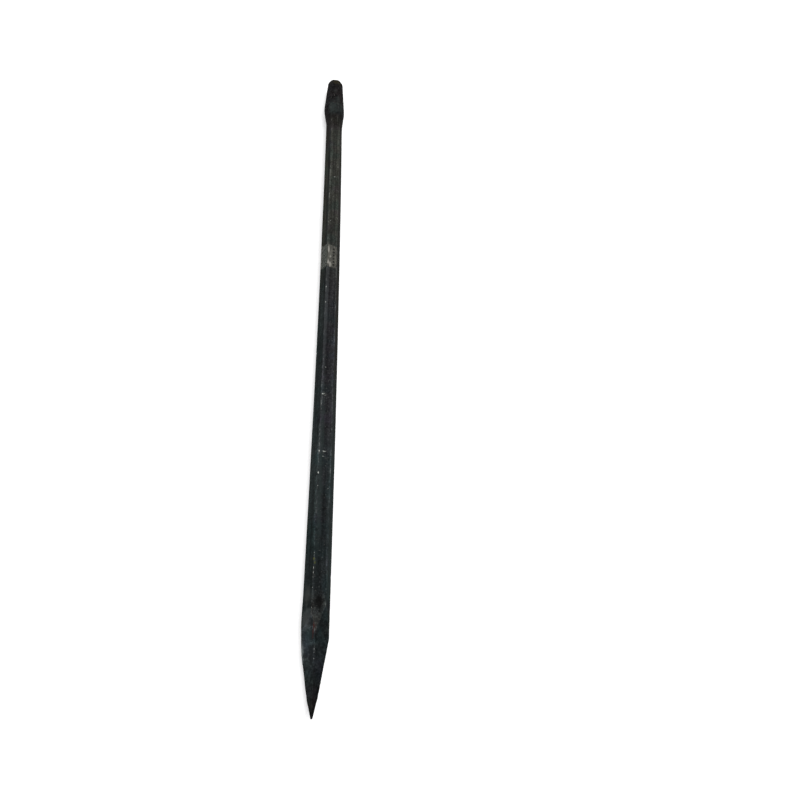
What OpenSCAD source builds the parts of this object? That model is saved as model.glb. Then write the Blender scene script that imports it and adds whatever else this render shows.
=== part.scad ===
// Digging bar: a solid hexagonal steel bar with a four-sided forged point at one end and
// an upset striking head at the other, and a strip of clear tape round the shaft.
// It lies along Y, point towards -Y and head towards +Y, with flats facing up and down.
// The origin is on the floor under the middle of its length.

/* [Bar] */
// Whole length, from the tip of the point to the striking face
bar_length = 1200; // [700:10:1800]
// Width of the hexagon across its flats
shaft_flats = 28; // [22:0.5:36]
// How far the rolled corners of the hexagon are rounded off, along the diagonal
corner_wear = 0.5; // [0.2:0.1:1]

/* [Point] */
// Width of the blunt tip across its flats
tip_flats = 1; // [0.5:0.1:4]
// Length of the steeper nose behind the tip
nose_length = 18; // [8:1:40]
// Slope of each nose face to the axis, in degrees
nose_angle = 10.5; // [8:0.5:16]
// Slope of each long face to the axis, in degrees
face_angle = 7; // [5:0.5:9]
// Distance of the shoulder from the tip, where the faces steepen again
shoulder_start = 80; // [50:1:110]
// Slope of each shoulder face to the axis, in degrees
shoulder_angle = 9.5; // [7:0.5:14]
// How far the ridges of the point are turned from the middle of the flats, in degrees
ridge_turn = 13; // [0:1:40]
// How far the point was forged off the axis of the bar, towards its underside
point_droop = 1.5; // [0:0.1:3]
// Plain hexagon left behind the longest face of the point
point_stub = 4; // [2:1:20]

/* [Striking head] */
// Diameter of the head at its striking end
face_d = 31; // [24:0.5:38]
// Width across the hammered flats at the striking end
face_flats = 29; // [22:0.5:31]
// Rounding of the edge of the striking face
face_edge = 4; // [2:0.5:8]
// How far the crown of the head stands proud of the corners of the hexagon
crown_rise = 4.1; // [2:0.1:10]
// Distance of the crown from the striking face
crown_drop = 92; // [60:1:140]
// Rounding of the crown along the bar
crown_round = 80; // [30:5:150]
// Slope of the flank that runs from the crown down to the shaft, in degrees
flank_angle = 5.5; // [4:0.5:12]
// Number of hammered flats round the taper
head_flats = 8; // [6:1:10]
// How far the first hammered flat is turned from the top of the bar, in degrees
head_turn = 30; // [0:5:60]
// Plain hexagon left below the flank of the head
neck_stub = 4; // [2:1:20]

/* [Tape] */
// Thickness of the tape
tape_t = 0.06; // [0.04:0.01:0.3]
// Width of the tape, along the bar
tape_w = 50; // [24:1:72]
// Length of the strip, round the bar from the right-hand edge of the top flat
tape_run = 48; // [20:1:70]
// Distance of the middle of the tape from the middle of the bar, towards the head
tape_shift = 65; // [-120:5:120]

/* [Hidden] */
$fn = 96;

// The hexagon
flat_r = shaft_flats / 2;
corner_r = flat_r / cos(30);
worn_r = corner_r - corner_wear;
hex_side = 2 * flat_r * tan(30);
oversize = 2 * corner_r;

// The point: half its width across flats grows from the tip, fastest over the nose and the shoulder
nose_half = tip_flats / 2 + nose_length * tan(nose_angle);
shoulder_half = nose_half + (shoulder_start - nose_length) * tan(face_angle);
runout_half = corner_r + point_droop;
point_length = shoulder_start + (runout_half - shoulder_half) / tan(shoulder_angle) + point_stub;
back_half = runout_half + point_stub * tan(shoulder_angle);

// The head, in its own half section: radius across, depth below the striking face along
crown_r = corner_r + crown_rise;
face_r = face_d / 2;
edge_centre = [face_r - face_edge, face_edge];
crown_centre = [crown_r - crown_round, crown_drop];
reach = crown_centre - edge_centre;
taper_angle = acos((face_edge - crown_round) / norm(reach)) - atan2(reach.y, reach.x);
flank_start = crown_centre + crown_round * [cos(flank_angle), sin(flank_angle)];
flank_end = flank_start.y + (flank_start.x - flat_r) / tan(flank_angle);
head_length = flank_end + neck_stub;
hidden_stub = neck_stub / 2;
edge_steps = 8;
crown_steps = 6;
flat_slope = atan((crown_r - face_flats / 2) / crown_drop);

// The tape: the angle that the strip takes up round the axis
tape_sides = floor(tape_run / hex_side);
tape_rest = tape_run - tape_sides * hex_side;
tape_angle = 60 * tape_sides + 30 + atan((tape_rest - hex_side / 2) / flat_r);
tape_start = -60;
tape_steps = 12;

shaft_length = bar_length - point_length - head_length;

// Points of an arc in a half section; an angle of 90 faces the striking end, 0 faces outwards
function arc(centre, radius, from, to, steps) =
    [for (i = [0:steps]) let (a = from + (to - from) * i / steps) centre + radius * [cos(a), -sin(a)]];

// Lays a bar that stands on its tip along Y, so that its -Y side becomes the top
module lay_down() translate([0, -bar_length / 2, crown_r]) rotate([-90, 0, 0]) children();

// Rolled hexagon with its corners taken off, grown by a thickness all round
module hex_bar(length, grow = 0) {
    intersection() {
        cylinder(h = length, r = (flat_r + grow) / cos(30), $fn = 6);
        cylinder(h = length, r = worn_r + grow);
    }
}

// One pair of opposite faces of the point, as a plate with that outline
module point_faces() {
    rotate([90, 0, 0])
        linear_extrude(height = 2 * oversize, center = true)
            polygon([
                [-tip_flats / 2, 0],
                [tip_flats / 2, 0],
                [nose_half, nose_length],
                [shoulder_half, shoulder_start],
                [back_half, point_length],
                [-back_half, point_length],
                [-shoulder_half, shoulder_start],
                [-nose_half, nose_length],
            ]);
}

// Half section of the round head: face, rounded edge, taper, crown, flank
module head_section() {
    polygon(concat(
        [[0, 0]],
        arc(edge_centre, face_edge, 90, taper_angle, edge_steps),
        arc(crown_centre, crown_round, taper_angle, -flank_angle, crown_steps),
        [
            [flat_r - hidden_stub * tan(flank_angle), flank_end + hidden_stub],
            [0, flank_end + hidden_stub],
        ]
    ));
}

// Steel outside one hammered flat, from the striking end to the crown
module hammered_flat() {
    translate([face_flats / 2, 0, 0])
        rotate([0, flat_slope, 0])
            translate([0, -oversize, -face_edge])
                cube([oversize, 2 * oversize, crown_drop + 2 * face_edge]);
}

module forged_point() {
    color("dimgray")
        lay_down()
            intersection() {
                hex_bar(point_length);
                translate([0, point_droop, 0]) rotate([0, 0, 45 - ridge_turn]) point_faces();
                translate([0, point_droop, 0]) rotate([0, 0, 135 - ridge_turn]) point_faces();
            }
}

module hex_shaft() {
    color([0.22, 0.22, 0.22])
        lay_down()
            translate([0, 0, point_length])
                hex_bar(shaft_length);
}

module striking_head() {
    color([0.15, 0.15, 0.16])
        lay_down()
            translate([0, 0, bar_length])
                mirror([0, 0, 1])
                    difference() {
                        union() {
                            rotate_extrude() head_section();
                            translate([0, 0, crown_drop]) hex_bar(head_length - crown_drop);
                        }
                        for (i = [0:head_flats - 1])
                            rotate([0, 0, -90 - head_turn + i * 360 / head_flats]) hammered_flat();
                    }
}

module tape_band() {
    color([0.75, 0.75, 0.72, 0.6])
        lay_down()
            translate([0, 0, bar_length / 2 + tape_shift - tape_w / 2])
                intersection() {
                    difference() {
                        hex_bar(tape_w, tape_t);
                        hex_bar(tape_w);
                    }
                    linear_extrude(height = tape_w)
                        polygon(concat(
                            [[0, 0]],
                            [for (i = [0:tape_steps])
                                let (a = tape_start - tape_angle * i / tape_steps)
                                    oversize * [cos(a), sin(a)]]
                        ));
                }
}

forged_point();
hex_shaft();
striking_head();
tape_band();
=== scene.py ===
"""Digging bar: a rolled hexagonal steel bar with a forged point and an upset striking head."""
import math

import bpy
import numpy as np
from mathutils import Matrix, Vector, noise


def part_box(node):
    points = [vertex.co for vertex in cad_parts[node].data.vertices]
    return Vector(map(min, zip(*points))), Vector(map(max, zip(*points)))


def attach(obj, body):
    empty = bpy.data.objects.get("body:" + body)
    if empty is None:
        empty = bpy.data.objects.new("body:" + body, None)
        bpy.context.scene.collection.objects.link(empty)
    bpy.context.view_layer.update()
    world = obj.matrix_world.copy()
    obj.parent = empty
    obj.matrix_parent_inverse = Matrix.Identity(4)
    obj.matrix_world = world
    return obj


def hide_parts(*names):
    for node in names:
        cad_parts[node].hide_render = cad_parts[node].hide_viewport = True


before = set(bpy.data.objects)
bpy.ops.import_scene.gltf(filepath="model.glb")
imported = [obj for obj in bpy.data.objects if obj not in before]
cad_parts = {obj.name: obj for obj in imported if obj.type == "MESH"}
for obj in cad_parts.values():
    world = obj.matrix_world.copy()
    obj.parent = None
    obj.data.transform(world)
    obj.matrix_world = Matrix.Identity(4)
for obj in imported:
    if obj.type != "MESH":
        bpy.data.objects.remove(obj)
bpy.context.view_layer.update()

# Shapes are worked out in millimetres along the bar and round it, and made in metres
MM = 0.001

# Sizes of the solids
point_low, point_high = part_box("forged_point")
shaft_low, shaft_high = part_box("hex_shaft")
head_low, head_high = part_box("striking_head")
tape_low, tape_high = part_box("tape_band")
TIP_Y = point_low.y
AXIS_Z = (shaft_low.z + shaft_high.z) / 2
BAR_LENGTH = (head_high.y - TIP_Y) / MM
POINT_END = (point_high.y - TIP_Y) / MM
HEAD_START = (head_low.y - TIP_Y) / MM
FLAT_R = (shaft_high.z - shaft_low.z) / 2 / MM
CROWN_R = (head_high.z - head_low.z) / 2 / MM
TAPE_START = (tape_low.y - TIP_Y) / MM
TAPE_END = (tape_high.y - TIP_Y) / MM

# Rolled hexagon, with one flat facing up; a higher roundness gives sharper corners
HEX_SIDES = 6
HEX_TURN = 60
HEX_NORMALS = np.radians(HEX_TURN * np.arange(HEX_SIDES))
HEX_ROUNDNESS = 36
ROLL_WAVE = 0.12
ROLL_WAVE_LENGTH = 70
ROLL_WAVE_STRETCH = np.array([1, 0.6, 1])

# Forged point: four faces that steepen at the nose and again at the shoulder
# The upper two lie closer in by a share, all droop a little, and the left two stand fuller behind the nose
POINT_NORMALS = np.radians([33, 128, 218, 313])
POINT_UPPER = 0.908
POINT_ROUNDNESS = 46
TIP_HALF = 0.7
TIP_ROUND = 1.2
NOSE_LENGTH = 18
NOSE_SLOPE = math.tan(math.radians(10.5))
FACE_SLOPE = math.tan(math.radians(7))
SHOULDER_START = 80
SHOULDER_SLOPE = math.tan(math.radians(13.3))
POINT_DROOP = 1.5
POINT_FULL = 1.35
POINT_FULL_REACH = (25, 85)
RIDGE_ANGLE = math.radians(-12.3)
RIDGE_SOFT = 0.03
RUNOUT_SOFT = 0.3
CREASE_REACH = 3

# Left corner at the shoulder, found by the sine of its angle: it is softer and spreads a little
LEFT_CORNER_SINES = (0.6, 1.0)
LEFT_SOFT = 4.5
LEFT_SPREAD = 0.7
LEFT_SPREAD_REACH = (130, 85)

# Striking head: it swells from the face to a slanted crown, then a flank runs down to the hexagon
FACE_R = 15.5
FACE_FLATS_R = 15.3
FACE_EDGE = 7
CROWN_DROP = 98
CROWN_SLANT = 4
CROWN_SOFT = 1.4
CROWN_EDGE_REACH = 60
FLANK_SLOPE = math.tan(math.radians(5.5))
HEAD_FLATS = 8
HEAD_TURN = math.radians(-10)
HEAD_ROUNDNESS = 45
NECK_SOFT = 1.2
NECK_HIDDEN = 8
NECK_FADE = 40

# Sideways lean of the head: at the crown, and from there to the face
CROWN_SHIFT = -0.7
CROWN_SHIFT_LENGTH = 80
FACE_SHIFT = 1.4

# Dished striking face: rings as shares of its rim, and the depth and size of its unevenness
FACE_RINGS = (0.93, 0.82, 0.68, 0.52, 0.36, 0.2, 0.08)
FACE_HOLLOW = 0.35
FACE_HOLLOW_SIZE = 6

# Where the hammered ends begin, from the joints of the point and of the head
FORGED_POINT_FADE = (10, -50)
FORGED_HEAD_FADE = (15, 65)

# Hammer marks on the forged ends, and scale pits all over; all fade where the bar is thin
HAMMER_DEPTH = 0.32
HAMMER_SIZE = 15
DENT_DEPTH = 0.14
DENT_SIZE = 5
PIT_DEPTH = 0.09
PIT_SIZE = 2.6
PIT_EDGE = (0.15, 0.6)
PIT_SHARE_ROLLED = 0.5
THIN_R = 10

# Each kind of unevenness is drawn in a place of its own
SEED_SHIFT = 17.3
ROLL_SEED = 1
HAMMER_SEED = 2
DENT_SEED = 3
PIT_SEED = 4
FACE_SEED = 5
FILM_SEED = 6

# Slight bow of the bar to the side in millimetres, about two places given as shares of its length
BOW_START = -0.35
BOW_TILT = 4.75
BOW_CURVE = -12.1
BOW_NODES = (0.083, 0.325)

# Nicks: distance from the tip, angle round the bar, half length along it, half width, depth
SEEN_NICKS = [
    (597, -29.5, 1.5, 0.8, 0.6),
    (565, -29.5, 1.4, 0.8, 0.6),
    (441, -17, 0.9, 1.6, 0.3),
    (395, -24, 1.2, 1.4, 0.4),
    (396, -15, 0.7, 0.9, 0.3),
    (393, -12, 0.7, 1.0, 0.3),
    (391, -4, 0.7, 0.7, 0.26),
    (390, 5, 0.6, 0.7, 0.26),
    (379, -29, 1.0, 0.6, 0.28),
    (371, -29.5, 0.8, 0.5, 0.25),
    (341, 5, 0.8, 0.6, 0.28),
    (306, -4, 0.9, 2.6, 0.5),
    (306, -29, 2.4, 0.8, 0.35),
    (298.5, -10, 0.7, 0.9, 0.28),
    (298, 2, 0.7, 1.0, 0.26),
    (297, 19, 0.9, 0.6, 0.3),
    (292, 14, 0.8, 0.5, 0.26),
    (275, -29, 2.2, 0.9, 0.4),
    (273, -3, 0.9, 0.9, 0.26),
    (257, -28, 1.0, 0.9, 0.3),
    (253, -31, 0.9, 0.7, 0.28),
    (254, 22, 0.9, 0.6, 0.28),
    (69, -12.6, 1.0, 0.4, 0.3),
    (66, -12.4, 1.4, 0.4, 0.3),
    (63, -12.2, 0.8, 0.4, 0.3),
    (57, -11.8, 0.9, 0.5, 0.35),
    (903, 25, 0.9, 0.7, 0.34),
    (872, 3, 1.4, 2.4, 0.34),
    (816, -6, 0.9, 0.8, 0.34),
    (752, -17, 1.0, 0.7, 0.34),
    (1131, -12, 0.9, 0.6, 0.36),
    (1124, -5, 0.8, 0.6, 0.28),
    (1120, 4, 0.9, 0.6, 0.26),
    (1146, -3, 0.8, 0.6, 0.26),
    (1150, -9, 0.7, 0.6, 0.24),
]

# Flecks on the left corner behind the point: distance from the tip and half length
CORNER_FLECKS = [
    (171, 0.6),
    (168, 1.0),
    (165.5, 0.6),
    (153.5, 1.6),
    (147.5, 2.2),
    (142.5, 0.9),
    (131, 0.9),
    (121, 0.6),
    (109, 0.8),
]
CORNER_FLECK_ANGLE = -30
CORNER_FLECK_WIDTH = 0.45
CORNER_FLECK_DEPTH = 0.3

# Seeded nicks along all the corners: spread about a corner in degrees, and ranges of half sizes and depth
NICK_SEED = 11
RANDOM_NICKS = 60
FIRST_CORNER = 30
NICK_SPREAD = 2
NICK_LENGTHS = (0.6, 2.2)
NICK_WIDTHS = (0.5, 1.1)
NICK_DEPTHS = (0.1, 0.3)

# The depth at which a nick shows bare steel, and its whole reach in half lengths
BARE_DEPTH = 0.4
NICK_REACH = 3

# Columns of the surface grids: steps at corners and on flats, and how many are close beside the ridge
CORNER_STEP = 0.35
FLAT_STEP = 1.5
STEP_GROWTH = 0.35
RIDGE_COLUMNS = 4

# Rings of the surface grids: steps on the ends, on the shaft and at nicks, the reach of the last in half
# lengths of a nick, the least gap between rings, and the start of a piece where none is left out
END_STEP = 1.1
SHAFT_STEP = 2.4
NICK_STEP = 0.6
NICK_RINGS_REACH = 2
RING_GAP = NICK_STEP * 0.6
FINE_START = 2

# Rings at the tip, by their distance from it, and over the face's rounded edge, as shares of its rounding
TIP_FIRST_RING = 0.04
TIP_RINGS = (0.12, 0.25, 0.45, 0.7, 1.0, 1.4, 1.9)
FACE_EDGE_RINGS = (0.8, 0.65, 0.5, 0.37, 0.26, 0.17, 0.1, 0.05, 0.02)

# Tape: a thin film stuck round the top, upper left and lower left flats
TAPE_FROM = math.radians(29.5)
TAPE_TO = math.radians(-148)
TAPE_STEP = math.radians(1.2)
TAPE_ROWS = 61
TAPE_OUTER = 0.15
TAPE_INNER = 0.03
TAPE_SKEW_LOW = 5
TAPE_SKEW_HIGH = 9
TAPE_RAGGED = 0.3
TAPE_RAGGED_WAVES = 9

# Bubbles under the tape: distance from the tip, place across, half length and half width
BUBBLES = [
    (681, -5.6, 10.0, 1.8),
    (665, -2.6, 3.0, 1.7),
    (652, -5.8, 6.0, 2.0),
    (647, -3.0, 7.0, 2.2),
]
BUBBLE_LIFT = 0.25
BUBBLE_EDGE = (0.3, 0.75)
BUBBLE_RAGGED = 0.2
BUBBLE_RAGGED_SIZE = 3


# Helpers for shapes

def smoothstep(low, high, value):
    """0 at low and before it, 1 at high and past it, and a smooth change between them."""
    share = np.clip((value - low) / (high - low), 0, 1)
    return share * share * (3 - 2 * share)


def smooth_min(first, second, soft):
    """The smaller of two sizes, with the change between them rounded."""
    share = np.clip(0.5 + (second - first) / (2 * soft), 0, 1)
    return second + (first - second) * share - soft * share * (1 - share)


def smooth_max(first, second, soft):
    """The larger of two sizes, with the change between them rounded."""
    return -smooth_min(-first, -second, soft)


def faceted(angle, normals, distances, roundness):
    """Radius of a section with flat sides, and how near each angle is to an edge, from 0 to 1."""
    sides = np.stack([np.maximum(np.cos(angle - n), 0) / d for n, d in zip(normals, distances)])
    ranked = np.sort(sides, axis=0)
    largest = ranked[-1]
    total = ((sides / largest) ** roundness).sum(axis=0)
    return 1 / (largest * total ** (1 / roundness)), ranked[-2] / largest


def bumps(place, size, seed):
    """Smooth unevenness from -1 to 1, of the given size, at each place in millimetres."""
    rows = (place.reshape(-1, 3) / size + seed * SEED_SHIFT).tolist()
    return np.array([noise.noise(row) for row in rows]).reshape(place.shape[:-1])


# Sections of the bar: s runs from the tip along the bar, angle from the top round to the right

def point_half(s):
    """Distance of the point's faces from their axis."""
    half = TIP_HALF + NOSE_SLOPE * np.minimum(s, NOSE_LENGTH)
    half = half + FACE_SLOPE * np.clip(s - NOSE_LENGTH, 0, SHOULDER_START - NOSE_LENGTH)
    half = half + SHOULDER_SLOPE * np.maximum(s - SHOULDER_START, 0)
    rounded = np.sqrt(2 * TIP_ROUND * s)
    return np.where(s < NOSE_LENGTH, np.minimum(half, rounded), half)


def hex_with_point(s, angle):
    """Radius of the hexagon cut by the point's faces, and masks of edges, of the cut and its right side."""
    hexagon, hex_edge = faceted(angle, HEX_NORMALS, [FLAT_R] * HEX_SIDES, HEX_ROUNDNESS)
    left_side = smoothstep(*LEFT_CORNER_SINES, -np.sin(angle))
    hexagon = hexagon + LEFT_SPREAD * left_side * smoothstep(*LEFT_SPREAD_REACH, s)
    half = point_half(s)
    droop = POINT_DROOP * smoothstep(0, NOSE_LENGTH, s)
    full = POINT_FULL * smoothstep(*POINT_FULL_REACH, s)
    distances = []
    for n in POINT_NORMALS:
        share = POINT_UPPER if math.cos(n) > 0 else 1
        distances.append(share * half - droop * math.cos(n) + full * (math.sin(n) < 0))
    spike, spike_edge = faceted(angle, POINT_NORMALS, distances, POINT_ROUNDNESS)
    cut = smoothstep(-RUNOUT_SOFT, RUNOUT_SOFT, hexagon - spike)
    edge = hex_edge + (spike_edge - hex_edge) * cut
    crease = np.maximum(0, 1 - np.abs(hexagon - spike) / CREASE_REACH)
    reach = [np.cos(angle - n) / d for n, d in zip(POINT_NORMALS, distances)]
    right = np.maximum(reach[0], reach[1])
    left = np.maximum(reach[2], reach[3])
    right_face = smoothstep(-RIDGE_SOFT, RIDGE_SOFT, (right - left) / np.maximum(right, left))
    masks = [np.maximum(edge, crease), cut, right_face]
    return smooth_min(hexagon, spike, RUNOUT_SOFT + LEFT_SOFT * left_side), masks


def striking_head(s, angle, hexagon, hex_edge):
    """Radius and edge nearness of the head, which takes over from the hexagon at its neck."""
    below = BAR_LENGTH - s
    drop = CROWN_DROP + CROWN_SLANT * np.sin(angle)
    taper = FACE_R + (CROWN_R - FACE_R) * below / drop
    flank = CROWN_R - (below - drop) * FLANK_SLOPE
    swell = smooth_min(taper, flank, CROWN_SOFT) + CROWN_SOFT / 4
    turns = HEAD_TURN + np.arange(HEAD_FLATS) * 2 * math.pi / HEAD_FLATS
    flats_r = FACE_FLATS_R + (CROWN_R - FACE_FLATS_R) * below / drop
    flats, flats_edge = faceted(angle, turns, [flats_r] * HEAD_FLATS, HEAD_ROUNDNESS)
    swell = smooth_min(swell, flats, CROWN_SOFT / 2)
    edge_depth = np.clip(FACE_EDGE - below, 0, FACE_EDGE)
    swell = swell - FACE_EDGE + np.sqrt(FACE_EDGE**2 - edge_depth**2)
    inner = hexagon - NECK_HIDDEN * smoothstep(0, NECK_FADE, drop - below)
    neck = smoothstep(-NECK_SOFT, NECK_SOFT, inner - swell)
    crown = 1 - np.abs(below - drop) / CROWN_EDGE_REACH
    edge = np.maximum(flats_edge, crown) * (1 - neck) + hex_edge * neck
    return smooth_max(swell, inner, NECK_SOFT), edge


def nick_list():
    """The nicks and flecks seen on the bar, and seeded others along its corners."""
    draw = np.random.default_rng(NICK_SEED)
    nicks = list(SEEN_NICKS)
    for along, half_length in CORNER_FLECKS:
        nicks.append((along, CORNER_FLECK_ANGLE, half_length, CORNER_FLECK_WIDTH, CORNER_FLECK_DEPTH))
    for _ in range(RANDOM_NICKS):
        along = draw.uniform(POINT_END, HEAD_START)
        corner = FIRST_CORNER + HEX_TURN * draw.integers(0, HEX_SIDES) + draw.normal(0, NICK_SPREAD)
        half_length = draw.uniform(*NICK_LENGTHS)
        half_width = draw.uniform(*NICK_WIDTHS)
        depth = draw.uniform(*NICK_DEPTHS)
        nicks.append((along, corner, half_length, half_width, depth))
    return nicks


NICKS = nick_list()


def bow(s):
    """Sideways bend of the bar."""
    share = s / BAR_LENGTH
    first, second = BOW_NODES
    return BOW_START + BOW_TILT * (share - first) + BOW_CURVE * (share - first) * (share - second)


def lean(s):
    """Sideways lean of the head."""
    to_crown = CROWN_SHIFT * smoothstep(HEAD_START, HEAD_START + CROWN_SHIFT_LENGTH, s)
    return to_crown + FACE_SHIFT * np.clip((s - BAR_LENGTH + CROWN_DROP) / CROWN_DROP, 0, 1)


def forged(s):
    """1 on the hammered ends of the bar and 0 on its rolled shaft."""
    point_from, point_to = FORGED_POINT_FADE
    head_from, head_to = FORGED_HEAD_FADE
    point = smoothstep(POINT_END + point_from, POINT_END + point_to, s)
    return point + smoothstep(HEAD_START + head_from, HEAD_START + head_to, s)


def cut_nicks(s, angle, radius):
    """Lowers the radius at each nick, and gives a mask of the steel bared there."""
    bare = np.zeros_like(radius)
    for along, degrees, half_length, half_width, depth in NICKS:
        near = (np.abs(s - along) < NICK_REACH * half_length).any(axis=1)
        if not near.any():
            continue
        turn = (angle[near] - math.radians(degrees) + math.pi) % (2 * math.pi) - math.pi
        across = turn * FLAT_R / half_width
        lengthways = (s[near] - along) / half_length
        mark = np.exp(-across**2 - lengthways**2)
        radius[near] -= depth * mark
        bare[near] = np.maximum(bare[near], mark * min(1, depth / BARE_DEPTH))
    return bare


def bar_surface(s, angle):
    """Places on the bar in millimetres for a grid of s and angle, and the masks of its finish there."""
    s, angle = np.broadcast_arrays(s, angle)
    hexagon, (edge, point_face, right_face) = hex_with_point(s, angle)
    head, head_edge = striking_head(s, angle, hexagon, edge)
    on_head = s > HEAD_START
    radius = np.where(on_head, head, hexagon)
    edge = np.where(on_head, head_edge, edge)
    around = np.stack([radius * np.sin(angle), s, radius * np.cos(angle)], axis=-1)
    worked = forged(s)
    thin = smoothstep(0, THIN_R, radius)
    radius = radius + thin * ROLL_WAVE * bumps(around * ROLL_WAVE_STRETCH, ROLL_WAVE_LENGTH, ROLL_SEED)
    radius = radius + thin * worked * HAMMER_DEPTH * bumps(around, HAMMER_SIZE, HAMMER_SEED)
    radius = radius + thin * worked * DENT_DEPTH * bumps(around, DENT_SIZE, DENT_SEED)
    pits = smoothstep(*PIT_EDGE, bumps(around, PIT_SIZE, PIT_SEED))
    radius = radius - thin * PIT_DEPTH * pits * (PIT_SHARE_ROLLED + worked)
    bare = cut_nicks(s, angle, radius)
    x = radius * np.sin(angle) + bow(s) + lean(s)
    z = radius * np.cos(angle)
    return np.stack([x, s, z], axis=-1), np.stack([edge, bare, point_face, right_face], axis=-1)


# Meshes

# Masks of the steel's finish, in the order in which bar_surface gives them
MASKS = ("edge_nearness", "bared_steel", "point_face", "right_face")


def column_angles():
    """Angles round the bar, closest together at the hexagon's corners and the point's ridge."""
    half_side = FLAT_R * math.tan(math.pi / HEX_SIDES)
    across = [0.0]
    while across[-1] < half_side:
        left = half_side - across[-1]
        across.append(across[-1] + max(CORNER_STEP, min(FLAT_STEP, left * STEP_GROWTH)))
    half = np.arctan(np.array(across[:-1]) / FLAT_R)
    side = np.concatenate([-half[:0:-1], half, [math.pi / HEX_SIDES]])
    angles = np.concatenate([side + normal for normal in HEX_NORMALS])
    ridge = RIDGE_ANGLE + np.arange(-RIDGE_COLUMNS, RIDGE_COLUMNS + 1) * CORNER_STEP / FLAT_R
    apart = np.abs(angles[:, None] - ridge[None, :]).min(axis=1)
    return np.sort(np.concatenate([angles[apart > CORNER_STEP / FLAT_R / 2], ridge]))


def stations(start, end, step, fine=()):
    """Distances from the tip at which a piece has rings: even steps, and finer ones at each nick."""
    count = round((end - start) / step)
    places = list(np.linspace(start, end, count + 1)) + list(fine)
    for along, _, half_length, _, _ in NICKS:
        reach = NICK_RINGS_REACH * half_length
        places += list(np.arange(along - reach, along + reach, NICK_STEP))
    kept = [start]
    for place in sorted(p for p in places if start < p < end):
        if place - kept[-1] > RING_GAP or place < start + FINE_START:
            kept.append(place)
    if end - kept[-1] < RING_GAP:
        kept.pop()
    return np.array(kept + [end])


def to_metres(places):
    """Places in millimetres from the tip and the axis, as metres in the part's frame."""
    return places * MM + np.array([0, TIP_Y, AXIS_Z])


def new_mesh(name, vertices, faces, masks, sharp_rings=()):
    """A smooth mesh object that carries masks of its finish at its points."""
    mesh = bpy.data.meshes.new(name)
    mesh.from_pydata(vertices.tolist(), [], faces)
    mesh.polygons.foreach_set("use_smooth", [True] * len(mesh.polygons))
    for label, values in masks.items():
        layer = mesh.attributes.new(label, "FLOAT", "POINT")
        layer.data.foreach_set("value", np.asarray(values, dtype=np.float32))
    for ring in sharp_rings:
        members = set(ring)
        for line in mesh.edges:
            if line.vertices[0] in members and line.vertices[1] in members:
                line.use_edge_sharp = True
    mesh.update()
    piece = bpy.data.objects.new(name, mesh)
    bpy.context.collection.objects.link(piece)
    return piece


def ring_faces(first, second, columns):
    """Four-sided faces between two rings of points."""
    return [
        (first + k, first + (k + 1) % columns, second + (k + 1) % columns, second + k)
        for k in range(columns)
    ]


def dished_face(rim):
    """Rings from the rim of the striking face in towards its middle."""
    centre = rim.mean(axis=0)
    rings = []
    for share in FACE_RINGS:
        ring = centre + (rim - centre) * share
        hollow = 0.5 + 0.5 * bumps(ring, FACE_HOLLOW_SIZE, FACE_SEED)
        ring[:, 1] -= (1 - share) * FACE_HOLLOW * hollow
        rings.append(ring)
    return np.stack(rings)


def bar_piece(name, along, start_closes, end_closes):
    """One length of the bar; each end closes on a flat joint, on the tip or on the striking face."""
    angles = column_angles()
    columns = len(angles)
    places, finish = bar_surface(along[:, None], angles[None, :])
    if end_closes == "face":
        face = dished_face(places[-1])
        places = np.concatenate([places, face])
        finish = np.concatenate([finish, np.zeros((*face.shape[:2], len(MASKS)))])
    rings = len(places)
    vertices = places.reshape(-1, 3)
    finish = finish.reshape(-1, len(MASKS))
    faces = []
    for r in range(rings - 1):
        faces += ring_faces(r * columns, (r + 1) * columns, columns)
    last = (rings - 1) * columns
    first_centre = vertices[:columns].mean(axis=0)
    last_centre = vertices[last:].mean(axis=0)
    if start_closes == "tip":
        first_centre[1] = 0
    first_cap = len(vertices)
    last_cap = first_cap + 1
    vertices = np.concatenate([vertices, [first_centre, last_centre]])
    finish = np.concatenate([finish, finish[[0, last]]])
    faces += [(first_cap, (k + 1) % columns, k) for k in range(columns)]
    faces += [(last_cap, last + k, last + (k + 1) % columns) for k in range(columns)]
    sharp = []
    if start_closes == "joint":
        sharp.append(range(columns))
    if end_closes == "joint":
        sharp.append(range(last, last + columns))
    return new_mesh(name, to_metres(vertices), faces, dict(zip(MASKS, finish.T)), sharp)


def film_faces(rows, columns):
    """Faces of a film whose outer points come first and inner points after them, closed round its rim."""
    count = rows * columns
    faces = []
    for r in range(rows - 1):
        for c in range(columns - 1):
            a = r * columns + c
            b = a + columns
            faces.append((a, b, b + 1, a + 1))
            faces.append((count + a, count + a + 1, count + b + 1, count + b))
    rim = list(range(columns))
    rim += [r * columns + columns - 1 for r in range(1, rows)]
    rim += [(rows - 1) * columns + c for c in range(columns - 2, -1, -1)]
    rim += [r * columns for r in range(rows - 2, 0, -1)]
    for a, b in zip(rim, rim[1:] + rim[:1]):
        faces.append((a, b, count + b, count + a))
    return faces


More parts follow.
